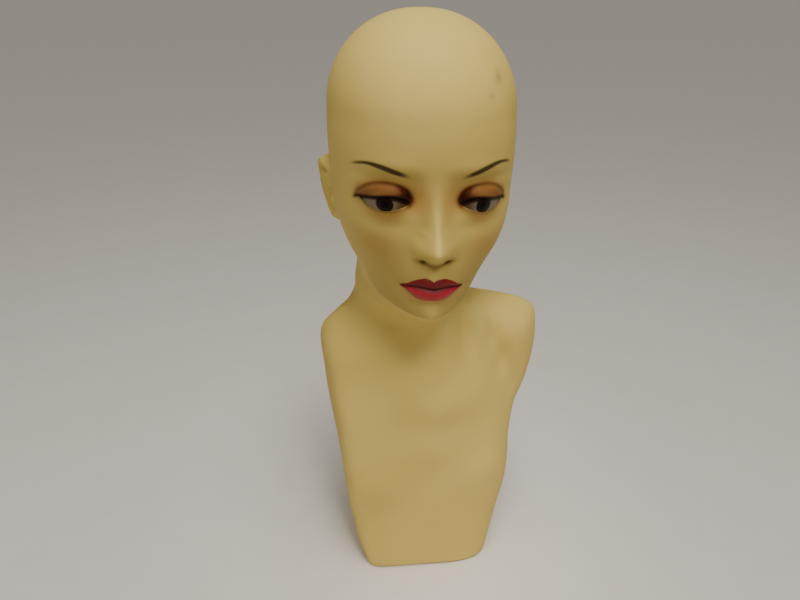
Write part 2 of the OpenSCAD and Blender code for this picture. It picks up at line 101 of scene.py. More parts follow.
NECK = [
    [0, -NECK_W * 0.01, neck_z(0.2), 0, 0.97 * SHOULDER_LEFT, 0.98 * SHOULDER_RIGHT,
     SHOULDER_D * 0.48, SHOULDER_D * 0.51, 1.8, 3, 1.9, 1],
    [0, -NECK_W * 0.02, neck_z(0.33), 0, 0.81 * SHOULDER_LEFT, 0.9 * SHOULDER_RIGHT,
     SHOULDER_D * 0.47, SHOULDER_D * 0.5, 1.4, 2, 1.6, 1],
    [-NECK_W * 0.01, -NECK_W * 0.03, neck_z(0.41), 0, mix(NECK_W / 2, SHOULDER_LEFT, 0.25),
     mix(NECK_W / 2, SHOULDER_RIGHT, 0.58), SHOULDER_D * 0.49, SHOULDER_D * 0.51, 1.4, 1.7, 1.6, 1],
    [-NECK_W * 0.01, -NECK_W * 0.05, neck_z(0.49), 0, NECK_W * 0.43,
     mix(NECK_W / 2, SHOULDER_RIGHT, 0.36), NECK_W * 0.43, NECK_W * 0.44, 1.7, 1.7, 1.8, 0.9],
    [-NECK_W * 0.02, -NECK_W * 0.09, neck_z(0.65), 5, NECK_W * 0.355, NECK_W * 0.56,
     NECK_W * 0.46, NECK_W * 0.46, 2, 2, 2, 0.7],
    [-NECK_W * 0.04, -NECK_W * 0.15, neck_z(0.83), 13, NECK_W * 0.365, NECK_W * 0.53,
     NECK_W * 0.49, NECK_W * 0.48, 2, 2, 2, 0.4],
]
# Height as a share of the chin's drop or the crown's height, how far the middle lies before the ears,
# fall of the front, share of the half width on the left and right, share of the half length to the front
# and back, squareness.
HEAD_STEPS = [
    (-0.9, -10.5, 20, 0.66, 0.71, 0.52, 0.52, 1.95),
    (-0.83, -9.5, 19, 0.65, 0.715, 0.72, 0.545, 1.75),
    (-0.74, -7.3, 17.5, 0.65, 0.725, 0.89, 0.6, 1.65),
    (-0.61, -6.3, 17, 0.705, 0.76, 0.985, 0.655, 1.68),
    (-0.4, -5.3, 15, 0.83, 0.875, 1.02, 0.76, 1.8),
    (-0.19, -4.2, 13.5, 0.947, 0.937, 1.035, 0.86, 1.9),
    (0, -3.1, 12, 0.985, 0.967, 1.02, 0.925, 2),
    (0.115, -3.1, 10.5, 0.99, 0.98, 0.995, 0.965, 2.1),
    (0.245, -3.1, 8, 1, 0.995, 0.985, 0.98, 2.2),
    (0.377, -3.1, 4.5, 1, 1, 0.985, 0.98, 2.25),
    (0.493, -3.1, 0, 0.995, 0.995, 0.96, 0.965, 2.2),
]
HEAD = [
    [HEAD_X, -HEAD_FORWARD - before, HEAD_Z + high * (CHIN_DROP if high < 0 else CROWN_H), fall,
     left * HEAD_W / 2, right * HEAD_W / 2, to_front * HEAD_D / 2, to_back * HEAD_D / 2, square, square, 2, 0]
    for high, before, fall, left, right, to_front, to_back, square in HEAD_STEPS
]
RINGS = np.array(TORSO + NECK + HEAD, float)
SPANS = len(RINGS) - 1
FACE_FROM = len(TORSO) + len(NECK)
SKULL_H = (1 - HEAD_STEPS[-1][0]) * CROWN_H
CROWN_FULLNESS = (0.93, 0.93, 0.9, 0.95)  # of the dome to the left, right, front and back; less is fuller


def rings_at(u):
    """Smooth rings at u spans above the base; over the last ring the crown closes as a dome."""
    u = np.asarray(u, float)
    ends = np.vstack([2 * RINGS[0] - RINGS[1], RINGS, 2 * RINGS[-1] - RINGS[-2]])
    i = np.clip(np.floor(u).astype(int), 0, SPANS - 1)
    a, b, c, d = (ends[i + k] for k in range(4))
    t = np.minimum(u - i, 1)[..., None]
    ring = b + t / 2 * (c - a + t * (2 * a - 5 * b + 4 * c - d + t * (3 * (b - c) + d - a)))
    climb = np.clip(u - SPANS, 0, 1) * math.pi / 2
    sine, cosine = np.sin(climb), np.maximum(np.cos(climb), 0)
    last, step = RINGS[-1], RINGS[-1] - RINGS[-2]
    tip = math.radians(-step[3])
    # How the last ring still widens to each side for a millimetre of height, where the dome takes over.
    rates = (
        step[4] / step[2], step[5] / step[2],
        step[6] / (step[2] + last[6] * tip), step[7] / (step[2] - last[7] * tip),
    )
    for k, fullness, rate in zip((4, 5, 6, 7), CROWN_FULLNESS, rates):
        ring[..., k] = ring[..., k] * cosine**fullness + rate * SKULL_H * sine * cosine**2
    ring[..., 2] += SKULL_H * sine
    return ring


# ---- Materials ----
def colour(value):
    """An sRGB hex value turned to linear."""
    parts = [int(value[k:k + 2], 16) / 255 for k in (1, 3, 5)]
    return (*(c / 12.92 if c < 0.04045 else ((c + 0.055) / 1.055) ** 2.4 for c in parts), 1)


def add(material, kind, inputs=(), **settings):
    """Adds a node with its settings; an input is a value or another node's output."""
    node = material.node_tree.nodes.new(kind)
    for name, value in settings.items():
        setattr(node, name, value)
    for socket, value in dict(inputs).items():
        if isinstance(value, bpy.types.NodeSocket):
            material.node_tree.links.new(value, node.inputs[socket])
        else:
            node.inputs[socket].default_value = value
    return node


def new_material(name):
    """A material with only its output, and the place on the piece that its patterns read."""
    material = bpy.data.materials.new(name)
    material.use_nodes = True
    material.node_tree.nodes.clear()
    place = add(material, "ShaderNodeTexCoord").outputs["Object"]
    return material, place


def finish_material(material, shader):
    add(material, "ShaderNodeOutputMaterial", {"Surface": shader.outputs[0]})
    return material


def tinted(material, under, tint, share):
    """One colour over another, by a share from 0 to 1."""
    return add(material, "ShaderNodeMix", {0: share, 6: under, 7: tint}, data_type="RGBA").outputs[2]


def marked(material, name):
    """The share of a wash of paint, kept on the piece under its name."""
    return add(material, "ShaderNodeAttribute", attribute_name=name).outputs["Fac"]


# The washes sprayed and brushed over the skin's ground, in the order they are laid on: make-up and scuffs,
# and painted shade over the face's front, in the hollows beside the nose's root and under the eyes, and in
# and under the nose.
WASHES = (
    ("face_front_shade", "#8c7236"), ("makeup_and_hollow_shade", "#a86c34"), ("scuff", "#8a7448"), ("lid", "#80522a"),
    ("crease", "#5c2c14"), ("liner", "#34170e"), ("brow", "#2a1a12"), ("nostril", "#5c3e10"),
)


def painted_laminate():
    # Two-pack enamel sprayed on a glass-fibre laminate: a matt cream flesh tone with a faint orange peel,
    # softly clouded by age, with airbrushed make-up in soft-edged washes on the face and painted shade over
    # the face's front, its hollows and under the nose.
    material, place = new_material("matt_sprayed_enamel")
    clouds = add(material, "ShaderNodeTexNoise",
                 {"Vector": place, "Scale": 16, "Detail": 3, "Roughness": 0.5})
    skin = tinted(material, colour("#dec572"), colour("#d4b860"), clouds.outputs["Fac"])
    dust = add(material, "ShaderNodeTexNoise", {"Vector": place, "Scale": 240, "Detail": 4, "Roughness": 0.7})
    spots = add(material, "ShaderNodeMapRange",
                {"Value": dust.outputs["Fac"], "From Min": 0.66, "From Max": 0.8, "To Max": 0.3})
    skin = tinted(material, skin, colour("#9a8448"), spots.outputs["Result"])
    for mark, tint in WASHES:
        skin = tinted(material, skin, colour(tint), marked(material, mark))
    peel = add(material, "ShaderNodeTexNoise", {"Vector": place, "Scale": 700, "Detail": 2})
    waves = add(material, "ShaderNodeTexNoise", {"Vector": place, "Scale": 45, "Detail": 2})
    bump = add(material, "ShaderNodeBump",
               {"Height": waves.outputs["Fac"], "Strength": 0.12, "Distance": 0.001})
    bump = add(material, "ShaderNodeBump", {
        "Height": peel.outputs["Fac"], "Strength": 0.1, "Distance": 0.0002, "Normal": bump.outputs["Normal"]})
    rough = add(material, "ShaderNodeMapRange",
                {"Value": clouds.outputs["Fac"], "To Min": 0.56, "To Max": 0.66})
    return finish_material(material, add(material, "ShaderNodeBsdfPrincipled", {
        "Base Color": skin, "Roughness": rough.outputs["Result"], "Normal": bump.outputs["Normal"],
        "IOR": 1.35, "Specular IOR Level": 0.16}))


def lip_enamel():
    # Brushed satin enamel: a cool lipstick red, deeper at the rim, with fine brush marks; the upper lip and
    # the parting are darkened as painted shade.
    material, place = new_material("satin_lip_enamel")
    along = add(material, "ShaderNodeMapping", {"Vector": place, "Scale": (1200, 300, 160)})
    strokes = add(material, "ShaderNodeTexNoise", {
        "Vector": along.outputs[0], "Scale": 1, "Detail": 3})
    red = tinted(material, colour("#bc2638"), colour("#981d2a"), strokes.outputs["Fac"])
    # Painted shade: the down-facing upper lip darker, and the parting between the lips darker still.
    red = tinted(material, red, colour("#64160f"), marked(material, "upper"))
    red = tinted(material, red, colour("#581416"), marked(material, "parting"))
    red = tinted(material, red, colour("#6e1a18"), marked(material, "rim"))
    bump = add(material, "ShaderNodeBump",
               {"Height": strokes.outputs["Fac"], "Strength": 0.15, "Distance": 0.0002})
    return finish_material(material, add(material, "ShaderNodeBsdfPrincipled", {
        "Base Color": red, "Roughness": 0.45, "Normal": bump.outputs["Normal"], "IOR": 1.42,
        "Specular IOR Level": 0.35}))


def eye_enamel():
    # Painted eyes under a thin clear lacquer: a near-black brown iris in an off-white dimmed as painted
    # shade, darker again toward the corners, with a painted shadow of the upper lid and lashes over the
    # eyeball's top.
    material, place = new_material("lacquered_eye_paint")
    far = marked(material, "from_pupil")
    mottle = add(material, "ShaderNodeTexNoise", {"Vector": place, "Scale": 900, "Detail": 3})
    # Painted shade: the off-white is dimmed for the eye's recess under the lids, and darker again toward the
    # corners.
    white = tinted(material, colour("#93826b"), colour("#7f6f58"), mottle.outputs["Fac"])
    white = tinted(material, white, colour("#54402a"), marked(material, "corner"))
    brown = tinted(material, colour("#2c190c"), colour("#1c0f07"), mottle.outputs["Fac"])
    in_iris = add(material, "ShaderNodeMapRange",
                  {"Value": far, "From Min": IRIS_R - 1, "From Max": IRIS_R, "To Min": 1, "To Max": 0})
    in_rim = add(material, "ShaderNodeMapRange",
                 {"Value": far, "From Min": IRIS_R - 2, "From Max": IRIS_R - 0.4})
    in_pupil = add(material, "ShaderNodeMapRange",
                   {"Value": far, "From Min": PUPIL_R - 0.6, "From Max": PUPIL_R, "To Min": 1, "To Max": 0})
    brown = tinted(material, brown, colour("#120904"), in_rim.outputs["Result"])
    brown = tinted(material, brown, colour("#050302"), in_pupil.outputs["Result"])
    paint = tinted(material, white, brown, in_iris.outputs["Result"])
    # Painted shadow of the upper lid and lashes over the top of the eyeball.
    paint = tinted(material, paint, colour("#1c0f09"), marked(material, "shade"))
    return finish_material(material, add(material, "ShaderNodeBsdfPrincipled", {
        "Base Color": paint, "Roughness": 0.3, "IOR": 1.35, "Specular IOR Level": 0.1}))


def lash_fibre():
    # Nylon lash fibre, drawn: near-black brown with a soft shine.
    material, place = new_material("nylon_lash_fibre")
    tone = add(material, "ShaderNodeTexNoise", {"Vector": place, "Scale": 400})
    hair = tinted(material, colour("#1c120c"), colour("#2e1e14"), tone.outputs["Fac"])
    return finish_material(material, add(material, "ShaderNodeBsdfPrincipled", {
        "Base Color": hair, "Roughness": 0.4, "IOR": 1.55}))


def grained(name, light, dark, across, along, relief, surface):
    """A streaked grain that runs along X; the streaks' spacings and relief are in millimetres."""
    material, place = new_material(name)
    stretch = add(material, "ShaderNodeMapping",
                  {"Vector": place, "Scale": (1 / (along * MM), 1 / (across * MM), 1 / (across * MM))})
    grain = add(material, "ShaderNodeTexNoise",
                {"Vector": stretch.outputs[0], "Scale": 1, "Detail": 5, "Distortion": 0.6})
    tone = tinted(material, colour(light), colour(dark), grain.outputs["Fac"])
    bump = add(material, "ShaderNodeBump",
               {"Height": grain.outputs["Fac"], "Strength": 0.4, "Distance": relief * MM})
    return finish_material(material, add(material, "ShaderNodeBsdfPrincipled", {
        "Base Color": tone, "Normal": bump.outputs["Normal"], **surface}))


def wooden(name, light, dark):
    # Sawn and sanded wood: a pale grain with streaks 2 mm apart, dry to the eye.
    return grained(name, light, dark, 2, 40, 0.1, {"Roughness": 0.7})


def metal(name, light, dark, rough):
    # Rolled or drawn steel: an even metal shine with fine streaks 0.6 mm apart.
    return grained(name, light, dark, 0.6, 12, 0.02, {"Metallic": 1, "Roughness": rough})


def felt():
    # Pressed wool felt: a dull dark nap of fine fibres about 1 mm apart, with a faint sheen at its edge.
    material, place = new_material("pressed_wool_felt")
    nap = add(material, "ShaderNodeTexNoise",
              {"Vector": place, "Scale": 900, "Detail": 6, "Roughness": 0.8})
    tone = tinted(material, colour("#3c3b38"), colour("#2b2a28"), nap.outputs["Fac"])
    bump = add(material, "ShaderNodeBump",
               {"Height": nap.outputs["Fac"], "Strength": 0.6, "Distance": 0.0004})
    return finish_material(material, add(material, "ShaderNodeBsdfPrincipled", {
        "Base Color": tone, "Roughness": 0.95, "Normal": bump.outputs["Normal"], "Sheen Weight": 0.3}))


def glass_tape():
    # Woven glass tape wetted out with resin: pale green-yellow, with a 3 mm weave under a low gloss.
    material, place = new_material("resin_wetted_glass_tape")
    weave = add(material, "ShaderNodeTexBrick", {
        "Vector": place, "Scale": 160, "Color1": colour("#cfc9a6"), "Color2": colour("#bdb68e"),
        "Mortar": colour("#a59f78")})
    bump = add(material, "ShaderNodeBump",
               {"Height": weave.outputs["Fac"], "Strength": 0.4, "Distance": 0.0003})
    return finish_material(material, add(material, "ShaderNodeBsdfPrincipled", {
        "Base Color": weave.outputs["Color"], "Roughness": 0.35, "Normal": bump.outputs["Normal"],
        "IOR": 1.54}))


def floor_paint():
    # Matt floor paint: a pale warm white, barely clouded, that takes soft shadows.
    material, place = new_material("pale_matt_floor")
    clouds = add(material, "ShaderNodeTexNoise", {"Vector": place, "Scale": 30, "Detail": 3})
    pale = tinted(material, colour("#f0e9df"), colour("#eae3d9"), clouds.outputs["Fac"])
    return finish_material(material, add(material, "ShaderNodeBsdfPrincipled", {
        "Base Color": pale, "Roughness": 0.8}))


# ---- Curves and forms that the sculpting uses ----
def curve_at(points, x):
    """A smooth curve through (x, y) points, read at x."""
    p = np.array(points, float)
    slope = np.gradient(p[:, 1], p[:, 0])
    x = np.clip(x, p[0, 0], p[-1, 0])
    i = np.clip(np.searchsorted(p[:, 0], x) - 1, 0, len(p) - 2)
    span = p[i + 1, 0] - p[i, 0]
    t = (x - p[i, 0]) / span
    return (
        p[i, 1] * (2 * t**3 - 3 * t**2 + 1) + p[i + 1, 1] * (3 * t**2 - 2 * t**3)
        + span * (slope[i] * (t**3 - 2 * t**2 + t) + slope[i + 1] * (t**3 - t**2))
    )


def from_curve(points, x, z):
    """Roughly how far a place lies over a curve, square to it."""
    x = np.asarray(x, float)
    slope = (curve_at(points, x + 0.25) - curve_at(points, x - 0.25)) / 0.5
    return (z - curve_at(points, x)) / np.sqrt(1 + slope**2)


def line_distance(points, x, z):
    """The distance from places to the nearest part of a curve."""
    way_x = np.linspace(points[0][0], points[-1][0], 49)
    way_z = curve_at(points, way_x)
    near = np.full(np.shape(x), 1e3)
    for x0, z0, run, climb in zip(way_x, way_z, np.diff(way_x), np.diff(way_z)):
        share = np.clip(((x - x0) * run + (z - z0) * climb) / (run**2 + climb**2), 0, 1)
        near = np.minimum(near, np.hypot(x - x0 - share * run, z - z0 - share * climb))
    return near


def bell(v, wide):
    return np.exp(-((v / wide) ** 2))


def forms_at(forms, x, z):
    """The rise of round forms, each [x, z, half width, half height, rise]."""
    return sum(rise * bell(x - fx, wide) * bell(z - fz, high) for fx, fz, wide, high, rise in forms)


def soft_max(a, b, soft):
    return (a + b + np.sqrt((a - b) ** 2 + soft**2)) / 2


def smooth_step(low, high, v):
    """0 below low, 1 above high, and a smooth climb between them."""
    t = np.clip((v - low) / (high - low), 0, 1)
    return t * t * (3 - 2 * t)


# ---- The face, in its own upright measures: x from its middle, z over the ear line ----
FACE_SIDE, FACE_SKEW = 0.3, 0.018   # the face's middle line lies beside the head's and slants a little


def upright(x, z):
    """The face's own measures of a place beside the head's middle and over the ear line."""
    ux = x * math.cos(FACE_LEAN) - z * math.sin(FACE_LEAN)
    uz = z * math.cos(FACE_LEAN) + x * math.sin(FACE_LEAN)
    return ux - FACE_SIDE - FACE_SKEW * (10 - uz), uz


def leaning(x, z):
    """The other way round: where a place in the face's own measures lies on the head."""
    x = x + FACE_SIDE + FACE_SKEW * (10 - z)
    hx = x * math.cos(FACE_LEAN) + z * math.sin(FACE_LEAN)
    hz = z * math.cos(FACE_LEAN) - x * math.sin(FACE_LEAN)
    return hx, hz


# Forms, as forms_at takes them; those of a pair are drawn for the left and mirrored.
PAIRED_FORMS = [
    (16.5, 12, 8, 12, -4.5),    # corner between the nose and the eye
    (33.5, 10, 13, 8, 3),       # lids over the eyeball
    (34, 24, 18, 4.5, -1.6),    # hollow between the lid and the brow
    (51, 9, 8, 8, -1.5),        # outer corner of the eye
    (32, 33, 20, 6, 1.5),       # brow
    (33, -6, 16, 6, -1.5),      # hollow under the eye
    (45, -18, 18, 15, 1.2),     # cheekbone
    (40, -48, 14, 14, -2),      # cheek beside the mouth
    (24, -50, 3.5, 4, -1.6),    # corner of the mouth
]
MIDDLE_FORMS = [
    (0, -5, 15, 24, 3.5),       # broad foot of the nose
    (0, -43, 18, 13, 2),        # round of the mouth
    (0, -63.5, 14, 4, -2.5),    # dip over the chin
    (0, -73, 12, 7, 2.5),       # chin
]
# The nose's bridge by height: the share of its rise, and its half width.
NOSE_RISE = 12
NOSE_SHARE = [(-30, 0), (-27, 0.18), (-22, 0.66), (-17, 0.95), (-12, 0.97), (-5, 0.76), (5, 0.4), (15, 0.17),
              (25, 0.05), (34, 0)]
NOSE_WIDTH = [(-30, 8), (-27, 8), (-22, 8), (-17, 7.6), (-12, 6.8), (-5, 5.8), (5, 5.4), (15, 6), (25, 8),
              (34, 10)]
# The lips' outlines for the left half, measured on the real face as the mean of both halves: top of the
# upper lip, line between the lips, foot of the lower lip.
LIP_TOP = [(0, -42.9), (3.7, -41), (7, -40.8), (11.1, -42.2), (15.9, -45.3), (19.5, -48), (22.8, -50.4)]
LIP_LINE = [(0, -49.6), (5.5, -48.9), (10.8, -48.2), (16.3, -48.6), (22.8, -50.6)]
LIP_FOOT = [(0, -60.4), (5, -60.3), (8.5, -59.7), (13, -57.6), (16.4, -54.8), (19.6, -52.2), (22.8, -50.8)]
LIP_HALF = 22.8
# The left eye's lines, measured on the real face as the mean of both eyes: crease over the lid, painted
# lash line, edge of the upper lid, edge of the lower lid.
CREASE = [(17.6, 12), (19.3, 15.3), (22, 18.4), (26, 20.5), (31, 21.2), (38, 20.5), (44, 18.2), (48.3, 14.9),
          (51.8, 10.9), (53.5, 7.5)]
LASH_LINE = [(18, 12.4), (21.5, 13.3), (27, 13.7), (33.5, 13.1), (38.5, 11.8), (42, 11), (46, 10.2),
             (50.4, 8.4), (53, 6.6), (55.5, 4.6)]
EYE_IN, EYE_OUT = 16.6, 50.2
LID_EDGE = [(EYE_IN, 9.6), (19, 11), (23, 12.8), (29, 13.8), (35, 13), (42, 11), (47, 9.4), (EYE_OUT, 8.3)]
LOWER_EDGE = [(EYE_IN, 9.4), (20, 7.2), (26.5, 4.6), (33, 2.7), (39.5, 2.3), (45, 3.8), (48.5, 6.4),
              (EYE_OUT, 8.1)]
IRIS = (33.6, 7.6)              # its middle
IRIS_R, PUPIL_R = 6.2, 3
LID_STEP = 0.9                  # how far the eyeball lies behind the lids' edges


def nose_rise(x, z):
    side = np.abs(x)
    ridge = NOSE_RISE * curve_at(NOSE_SHARE, z) * np.exp(-((side / curve_at(NOSE_WIDTH, z)) ** 2))
    tip = NOSE_RISE * bell(side, 7.2) * np.exp(-(np.abs((z + 15.5) / 9.2) ** 4))
    wing = 5 * np.exp(-((side / 13.6) ** 4)) * smooth_step(-31, -26, z) * (1 - smooth_step(-24, -10, z))
    whole = soft_max(ridge, tip, 2) - 1 + wing
    nostril = -4 * bell(side - 8.5 - 0.05 * x, 2.8) * bell(z + 28.2, 1.7)
    septum = 1.5 * bell(x - 1, 3.6) * bell(z + 30.5, 3)
    fold = -0.5 * bell(side - 16, 2.4) * bell(z + 25, 5)
    return np.maximum(whole, 0) + nostril + septum + fold


def lip_rise(x, z):
    """The two lips, the parting between them and the groove under the nose."""
    side = np.minimum(np.abs(x), LIP_HALF)
    top, line, foot = (curve_at(c, side) for c in (LIP_TOP, LIP_LINE, LIP_FOOT))
    taper = np.sqrt(np.maximum(1 - (side / LIP_HALF) ** 2, 0))
    upper = np.clip((z - line) / np.maximum(top - line, 0.5), 0, 1)
    lower = np.clip((line - z) / np.maximum(line - foot, 0.5), 0, 1)
    rise = 1.8 * np.sin(np.pi * upper) ** 0.75 + 4 * np.sin(np.pi * lower**0.85) ** 0.9
    parting = 0.4 * bell(z - line, 1.2)
    groove = -0.5 * bell(x, 2.4) * bell(z + 37, 4) + 0.2 * bell(np.abs(x) - 4.5, 2) * bell(z + 38, 4)
    return np.where(np.abs(x) < LIP_HALF, taper * (rise + parting), 0) + groove


def eye_rise(x, z):
    """The lids: a groove along the crease, the upper lid's thickness and a thin rim under the opening."""
    side = np.abs(x)
    inside = smooth_step(EYE_IN - 2, EYE_IN + 3, side) * (1 - smooth_step(EYE_OUT - 3, EYE_OUT + 3, side))
    crease = -1.5 * bell(from_curve(CREASE, side, z), 1.5) * inside
    lid = 0.7 * smooth_step(-0.5, 1, from_curve(LID_EDGE, side, z))
    lid = lid * smooth_step(0.5, 4, -from_curve(CREASE, side, z))
    rim = 0.15 * bell(from_curve(LOWER_EDGE, side, z) + 1, 1.2)
    return crease + inside * (lid + rim)


def face_rise(x, z):
    forms = forms_at(PAIRED_FORMS, np.abs(x), z) + forms_at(MIDDLE_FORMS, x, z)
    return nose_rise(x, z) + lip_rise(x, z) + eye_rise(x, z) + forms


def in_opening(x, z):
    """1 inside the opening between the lids, falling to 0 over half a millimetre."""
    side = np.abs(x)
    within = np.minimum(-from_curve(LID_EDGE, side, z), from_curve(LOWER_EDGE, side, z))
    return smooth_step(-0.25, 0.25, within) * (side > EYE_IN) * (side < EYE_OUT)


# ---- Paint on the face: how much of each wash lies at a place, from 0 to 1 ----
# The left brow's middle line and half thickness, measured on the real face as the mean of both brows.
BROW = [(13, 25), (18, 27.4), (27.5, 30.4), (36.5, 33.1), (46.5, 34.2), (55.5, 31.3), (58, 30)]
BROW_HALF = [(13, 0.3), (18, 1), (24, 1.5), (30, 1.7), (37, 1.6), (46.5, 1), (54, 0.5), (57, -0.8)]
BROW_TILT = 0.035               # the left brow is painted a little higher than the right at its end


def nostril_shade_paint(x, z):
    """Painted shade in the nostrils and painted shadow in the crease that curves under the nose between them.
    """
    side = np.abs(x)
    holes = bell(side - 8.8 - 0.06 * x, 3.2) * bell(z + 28.4, 2)
    crease = bell(x - 0.5, 8) * bell((z + 32.2 - 0.4 * side) / (1 - 0.06 * np.minimum(side, 10)), 3.6)
    return holes + 0.75 * crease


def brow_paint(x, z):
    side = np.abs(x)
    tilted = z - BROW_TILT * np.sign(x) * (side - 18)
    brow = smooth_step(-0.9, 0.7, curve_at(BROW_HALF, side) - np.abs(from_curve(BROW, side, tilted)))
    return brow * smooth_step(15, 25, side) * (1 - 0.4 * smooth_step(46, 56, side))


def face_front_shade_paint(x, z):
    """Painted shade over the front of the face, lighter down its middle and on the nose's tip."""
    side = np.abs(x)
    face_front_shade = smooth_step(-88, -72, z) * (1 - smooth_step(15, 75, z)) * (1 - smooth_step(30, 62, side))
    ridge = 1 - 0.5 * bell(x, 5) * (1 - smooth_step(0, 20, z))
    return face_front_shade * ridge * (1 - 0.7 * bell(x, 9) * bell(z + 17, 9))


def paint_marks(x, z):
    """How much of each wash of WASHES lies at a place of the face."""
    side = np.abs(x)
    over_crease = from_curve(CREASE, side, z)
    over_edge = from_curve(LID_EDGE, side, z)
    over_lower = from_curve(LOWER_EDGE, side, z)
    along = smooth_step(EYE_IN - 2, EYE_IN + 1, side) * (1 - smooth_step(EYE_OUT + 1, EYE_OUT + 4, side))
    inner = 1 - smooth_step(18, 30, side)
    middle = 1 - smooth_step(30, 43, side)
    end = 1 - smooth_step(52, 56, side)
    lid = smooth_step(-1, 0.6, over_edge) * (1 - smooth_step(-3, 1, over_crease)) * along
    from_crease = line_distance(CREASE, side, z)
    line = bell(from_crease, 1.5 + 1.3 * inner) * (0.6 + 0.35 * inner) * end
    halo = bell(from_crease, 4.2) * (1 - smooth_step(50, 56, side))
    corner = bell(np.hypot((side - 18.9) * 1.1, (z - 13.4) * 0.8), 3.2)
    lash = bell(line_distance(LASH_LINE, side, z), 0.95 + 0.8 * middle + 0.9 * inner) * end
    wedge = bell(np.hypot(side - 22, (z - 15) * 1.2), 5.5)
    lower_line = 0.5 * bell(over_lower + 0.3, 1.3) * along * smooth_step(18, 26, side)
    inner_wash = 0.6 * bell(np.hypot(side - 17.6, (z - 9.5) * 0.9), 3)
    inner_wash = inner_wash + 0.3 * bell(over_lower + 1.2, 2) * along * inner
    # Painted shade in the hollows beside the nose's root and under the eyes; the halo over the crease and the
    # cheek wash are make-up.
    nose_root = bell(side - 10, 8) * bell(z - 13, 12)
    cheek = bell(side - 40, 16) * bell(z + 22, 12)
    under_eye = bell(side - 32, 16) * bell(over_lower + 3, 4)
    return {
        # painted shade over the front of the face
        "face_front_shade": 0.5 * face_front_shade_paint(x, z),
        # make-up halo and cheek, with painted shade in the hollows by the nose's root and under the eyes
        "makeup_and_hollow_shade": np.clip(0.6 * halo + 0.35 * nose_root + 0.25 * cheek + 0.4 * under_eye, 0, 1),
        "scuff": 0.5 * bell(np.hypot(x - 42, (z - 88) * 0.7), 3) + 0.35 * bell(np.hypot(x - 36, z - 78), 2.2),
        "lid": np.clip(0.9 * lid, 0, 1),
        "crease": np.clip(line + 0.4 * corner + 0.75 * wedge + inner_wash, 0, 1),
        "liner": np.clip(0.85 * lash + lower_line + 0.45 * corner, 0, 1),
        "brow": 0.92 * brow_paint(x, z),
        # painted shade in the nostrils and painted shadow under the nose
        "nostril": np.clip(0.8 * nostril_shade_paint(x, z), 0, 1),
    }


# ---- The ear, on the side of the head: p runs forward from its middle and q up ----
def ear_rise(p, q):
    """The ear's oval, with its rolled rim, inner ridge, hollow bowl and the small flap in front of it."""
    lean = p + 0.2 * q
    wide = 13.5 + 0.09 * q
    far = np.sqrt((lean / wide) ** 2 + (q / 25) ** 2 + 1e-9)
    back = 1 - smooth_step(2, 9, lean) * (1 - smooth_step(12, 20, q))
    plane = (5.2 + 0.07 * q - 0.28 * lean) * (1 - smooth_step(0.86, 1.06, far))
    plane = plane * (1 - 0.75 * smooth_step(4, 12, lean))
    rim = 1.7 * bell(far - 0.86, 0.09) * back
    furrow = -2.4 * bell(far - 0.66, 0.08) * back * smooth_step(-20, -10, q)
    ridge = 1.3 * bell(far - 0.48, 0.09) * (1 - smooth_step(-2, 5, lean))
    bowl = -7 * bell(lean - 1.5, 5.5) * bell(q + 4, 8)
    flap = 3 * bell(lean - 10, 3) * bell(q + 6, 4.5)
    return plane + rim + furrow + ridge + bowl + flap


# ---- The chest and throat: x from the rings' middles and z from the table, before the shoulders turn ----
CHEST_FORMS = [
    (-46, 104, 27, 26, 5),      # right breast
    (50, 110, 27, 26, 5),       # left breast
    (-9, 268, 18, 16, 6),       # front of the neck
    (31, 247, 8, 18, -8),       # hollow beside the neck
    (-10, 233, 24, 12, -6),     # pit of the throat
    (0, 192, 34, 24, 17),       # breastbone
    (0, 150, 40, 26, 7),        # foot of the breastbone
    (36, 198, 16, 30, 3),       # chest muscle beside the left arm
    (57, 234, 9, 16, -7),       # groove in front of the left shoulder
    (67, 210, 10, 20, -8),      # the groove's middle
    (78, 180, 12, 24, -7),      # groove down to the left armpit
    (88, 236, 18, 20, 3),       # round of the left shoulder
]


# ---- Points of the skin and of the face ----
EAR_Z, EAR_BACK = -3, 3         # how far the ear's middle lies from the ears' place, up and backward
LEFT_EAR = 0.8                  # the left ear lies flatter
PATCH_IN, PATCH_OUT = 12, 60    # reach of the eye pieces on the face, under which the skin sinks
PATCH_FOOT, PATCH_TOP = -4.5, 39
PATCH_SINK, LIP_SINK = 1.2, 1.4


def under_patch(x, z):
    """1 well inside the eye pieces and 0 from a little inside their edges outward."""
    side = np.abs(x)
    inward = np.minimum.reduce([side - PATCH_IN, PATCH_OUT - side, z - PATCH_FOOT, PATCH_TOP - z])
    return smooth_step(3.2, 5, inward)


def under_lips(x, z):
    """1 well inside the lips' piece and 0 from a little inside its edges outward."""
    side = np.minimum(np.abs(x), LIP_HALF)
    inward = np.minimum(curve_at(LIP_TOP, side) - z, z - curve_at(LIP_FOOT, side))
    return smooth_step(0.4, 1.4, inward) * (np.abs(x) < LIP_HALF)


